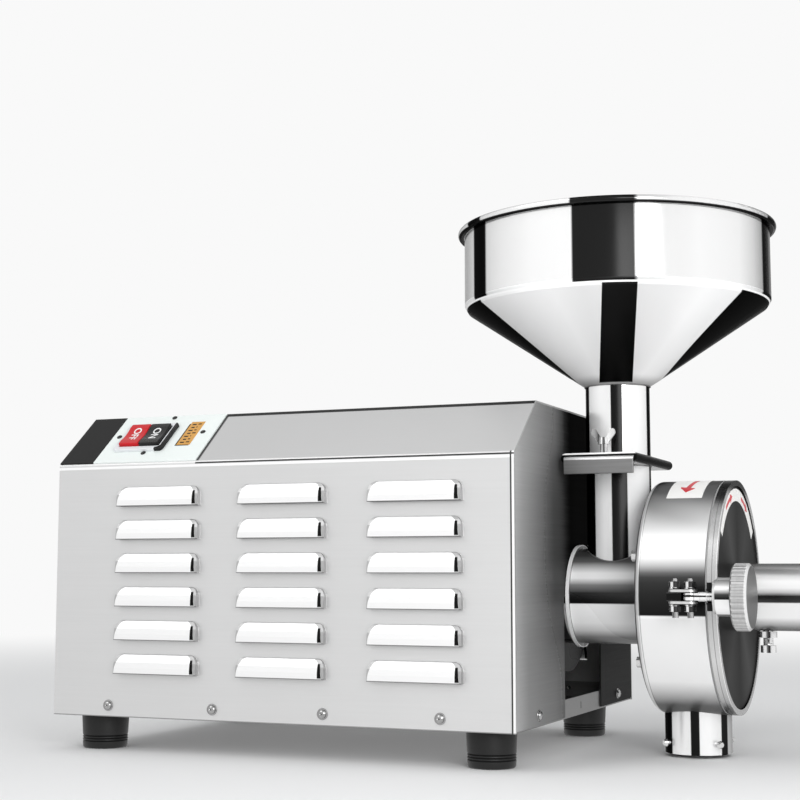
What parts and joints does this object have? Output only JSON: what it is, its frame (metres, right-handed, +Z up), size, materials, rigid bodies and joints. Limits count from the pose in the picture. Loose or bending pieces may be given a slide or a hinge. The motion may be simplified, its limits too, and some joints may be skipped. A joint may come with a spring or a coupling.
{
  "type": "electric grain mill",
  "caption": "Stainless burr mill with a louvred motor cabinet, hopper, feed gate, round grinding drum with hinged clamped cover, and a gap adjuster.",
  "frame": {"origin": "centre of the whole's footprint, on the surface that the feet stand on", "axes": "+X along the shaft from the cabinet towards the drum, -Y is the front with the switch, +Z up"},
  "size_m": [0.668, 0.362, 0.456],
  "materials": {
    "satin_sheet": "satin stainless sheet",
    "dark_sheet": "satin stainless sheet in shade",
    "mirror_steel": "mirror-polished stainless steel",
    "bright_steel": "polished stainless steel",
    "brushed_plate": "brushed stainless plate",
    "dark_face": "dark brushed stainless",
    "fasteners": "bright nickel plated steel",
    "burr_iron": "hardened cast iron",
    "machined_steel": "turned steel",
    "laminations": "varnished electrical steel",
    "copper": "enamelled copper wire",
    "motor_paint": "satin dark grey paint",
    "brass_nut": "turned brass",
    "rubber": "matt black rubber",
    "black_plastic": "matt black plastic",
    "black_gloss": "gloss black",
    "white_plate": "satin white",
    "red_key": "gloss red plastic"
  },
  "bodies": {
    "mill": {"base_tray": "dark_sheet", "rubber_feet": "rubber", "foot_screws": "fasteners", "cover_wrap": "satin_sheet", "right_panel": "dark_sheet", "left_panel": "satin_sheet", "cover_screws": "fasteners", "cable_gland": "black_plastic", "dark_plate": "black_gloss", "switch_plate": "white_plate", "switch_bezel": "black_gloss", "switch_body": "black_plastic", "motor_stand": "motor_paint", "motor_shell": "motor_paint", "stator_core": "laminations", "stator_windings": "copper", "front_bell": "motor_paint", "rear_bell": "motor_paint", "motor_bolts": "fasteners", "motor_bearings": "machined_steel", "fan_cowl": "motor_paint", "capacitor": "black_plastic", "feed_housing": "bright_steel", "shaft_seal": "rubber", "feed_neck": "mirror_steel", "gate_sleeve": "bright_steel", "hopper_neck": "mirror_steel", "hopper_cone": "mirror_steel", "hopper": "mirror_steel", "grinding_chamber": "bright_steel", "chamber_lugs": "fasteners", "fixed_burr": "burr_iron", "chamber_bolts": "fasteners", "discharge_spout": "mirror_steel", "spout_pins": "fasteners", "hinge_pin": "fasteners", "latch_plates": "fasteners"},
    "rotor": {"motor_shaft": "machined_steel", "rotor_core": "laminations", "cooling_fan": "black_plastic", "feed_auger": "machined_steel", "drive_pin": "machined_steel"},
    "moving_burr": {"rotating_burr": "burr_iron", "burr_cap": "machined_steel"},
    "cover": {"front_cover": "dark_face", "cover_gasket": "rubber", "cover_lugs": "brushed_plate", "adjusting_sleeve": "bright_steel", "sleeve_nut": "brass_nut"},
    "thrust": {"thrust_bearing": "machined_steel"},
    "adjuster": {"adjusting_screw": "machined_steel", "adjusting_knob": "brushed_plate"},
    "lock": {"lock_screw": "fasteners"},
    "swing": {"swing_bolt": "fasteners"},
    "washer": {"clamp_washer": "brushed_plate"},
    "clamp": {"clamp_knob": "brushed_plate"},
    "gate": {"gate_plate": "brushed_plate"},
    "gate_lock": {"gate_screw": "fasteners"},
    "on_button": {"on_key": "black_gloss"},
    "off_button": {"off_key": "red_key"}
  },
  "joints": [
    {"name": "rotor_spin", "type": "hinge", "parent": "mill", "child": "rotor", "pos_m": [0.10795, 0, 0.133], "axis": [1, 0, 0], "continuous": true},
    {"name": "burr_slide", "type": "slide", "parent": "rotor", "child": "moving_burr", "axis": [1, 0, 0], "range_m": [-0.0003, 0.003]},
    {"name": "cover_hinge", "type": "hinge", "parent": "mill", "child": "cover", "pos_m": [0.2398, 0.112, 0.133], "axis": [0, 0, 1], "range_deg": [0, 120]},
    {"name": "thrust_slide", "type": "slide", "parent": "cover", "child": "thrust", "axis": [1, 0, 0], "range_m": [-0.0003, 0.003]},
    {"name": "adjuster_turn", "type": "hinge", "parent": "thrust", "child": "adjuster", "pos_m": [0.24685, 0, 0.133], "axis": [1, 0, 0], "range_deg": [-36, 324]},
    {"name": "lock_turn", "type": "hinge", "parent": "cover", "child": "lock", "pos_m": [0.27085, 0, 0.093], "axis": [0, 0, 1], "range_deg": [0, 360]},
    {"name": "latch_swing", "type": "hinge", "parent": "mill", "child": "swing", "pos_m": [0.23195, -0.118, 0.135], "axis": [0, 0, -1], "range_deg": [0, 105]},
    {"name": "washer_slide", "type": "slide", "parent": "swing", "child": "washer", "axis": [1, 0, 0], "range_m": [0, 0.0025]},
    {"name": "clamp_turn", "type": "hinge", "parent": "washer", "child": "clamp", "pos_m": [0.26195, -0.118, 0.135], "axis": [1, 0, 0], "range_deg": [0, 720]},
    {"name": "gate_slide", "type": "slide", "parent": "mill", "child": "gate", "axis": [0, -1, 0], "range_m": [0, 0.058]},
    {"name": "gate_screw_turn", "type": "hinge", "parent": "mill", "child": "gate_lock", "pos_m": [0.14495, -0.048, 0.2497], "axis": [0, 0, 1], "range_deg": [0, 360]},
    {"name": "on_press", "type": "slide", "parent": "mill", "child": "on_button", "axis": [0, 0.6347, -0.7727], "range_m": [0, 0.003], "stiffness_N_per_m": 600, "springref_m": -0.001},
    {"name": "off_press", "type": "slide", "parent": "mill", "child": "off_button", "axis": [0, 0.6347, -0.7727], "range_m": [0, 0.003], "stiffness_N_per_m": 600, "springref_m": -0.001}
  ],
  "couplings": [
    {"joint": "burr_slide", "follows": "adjuster_turn", "m_per_rad": 0.00047746},
    {"joint": "thrust_slide", "follows": "adjuster_turn", "m_per_rad": 0.00047746},
    {"joint": "washer_slide", "follows": "clamp_turn", "m_per_rad": 0.00019894}
  ]
}
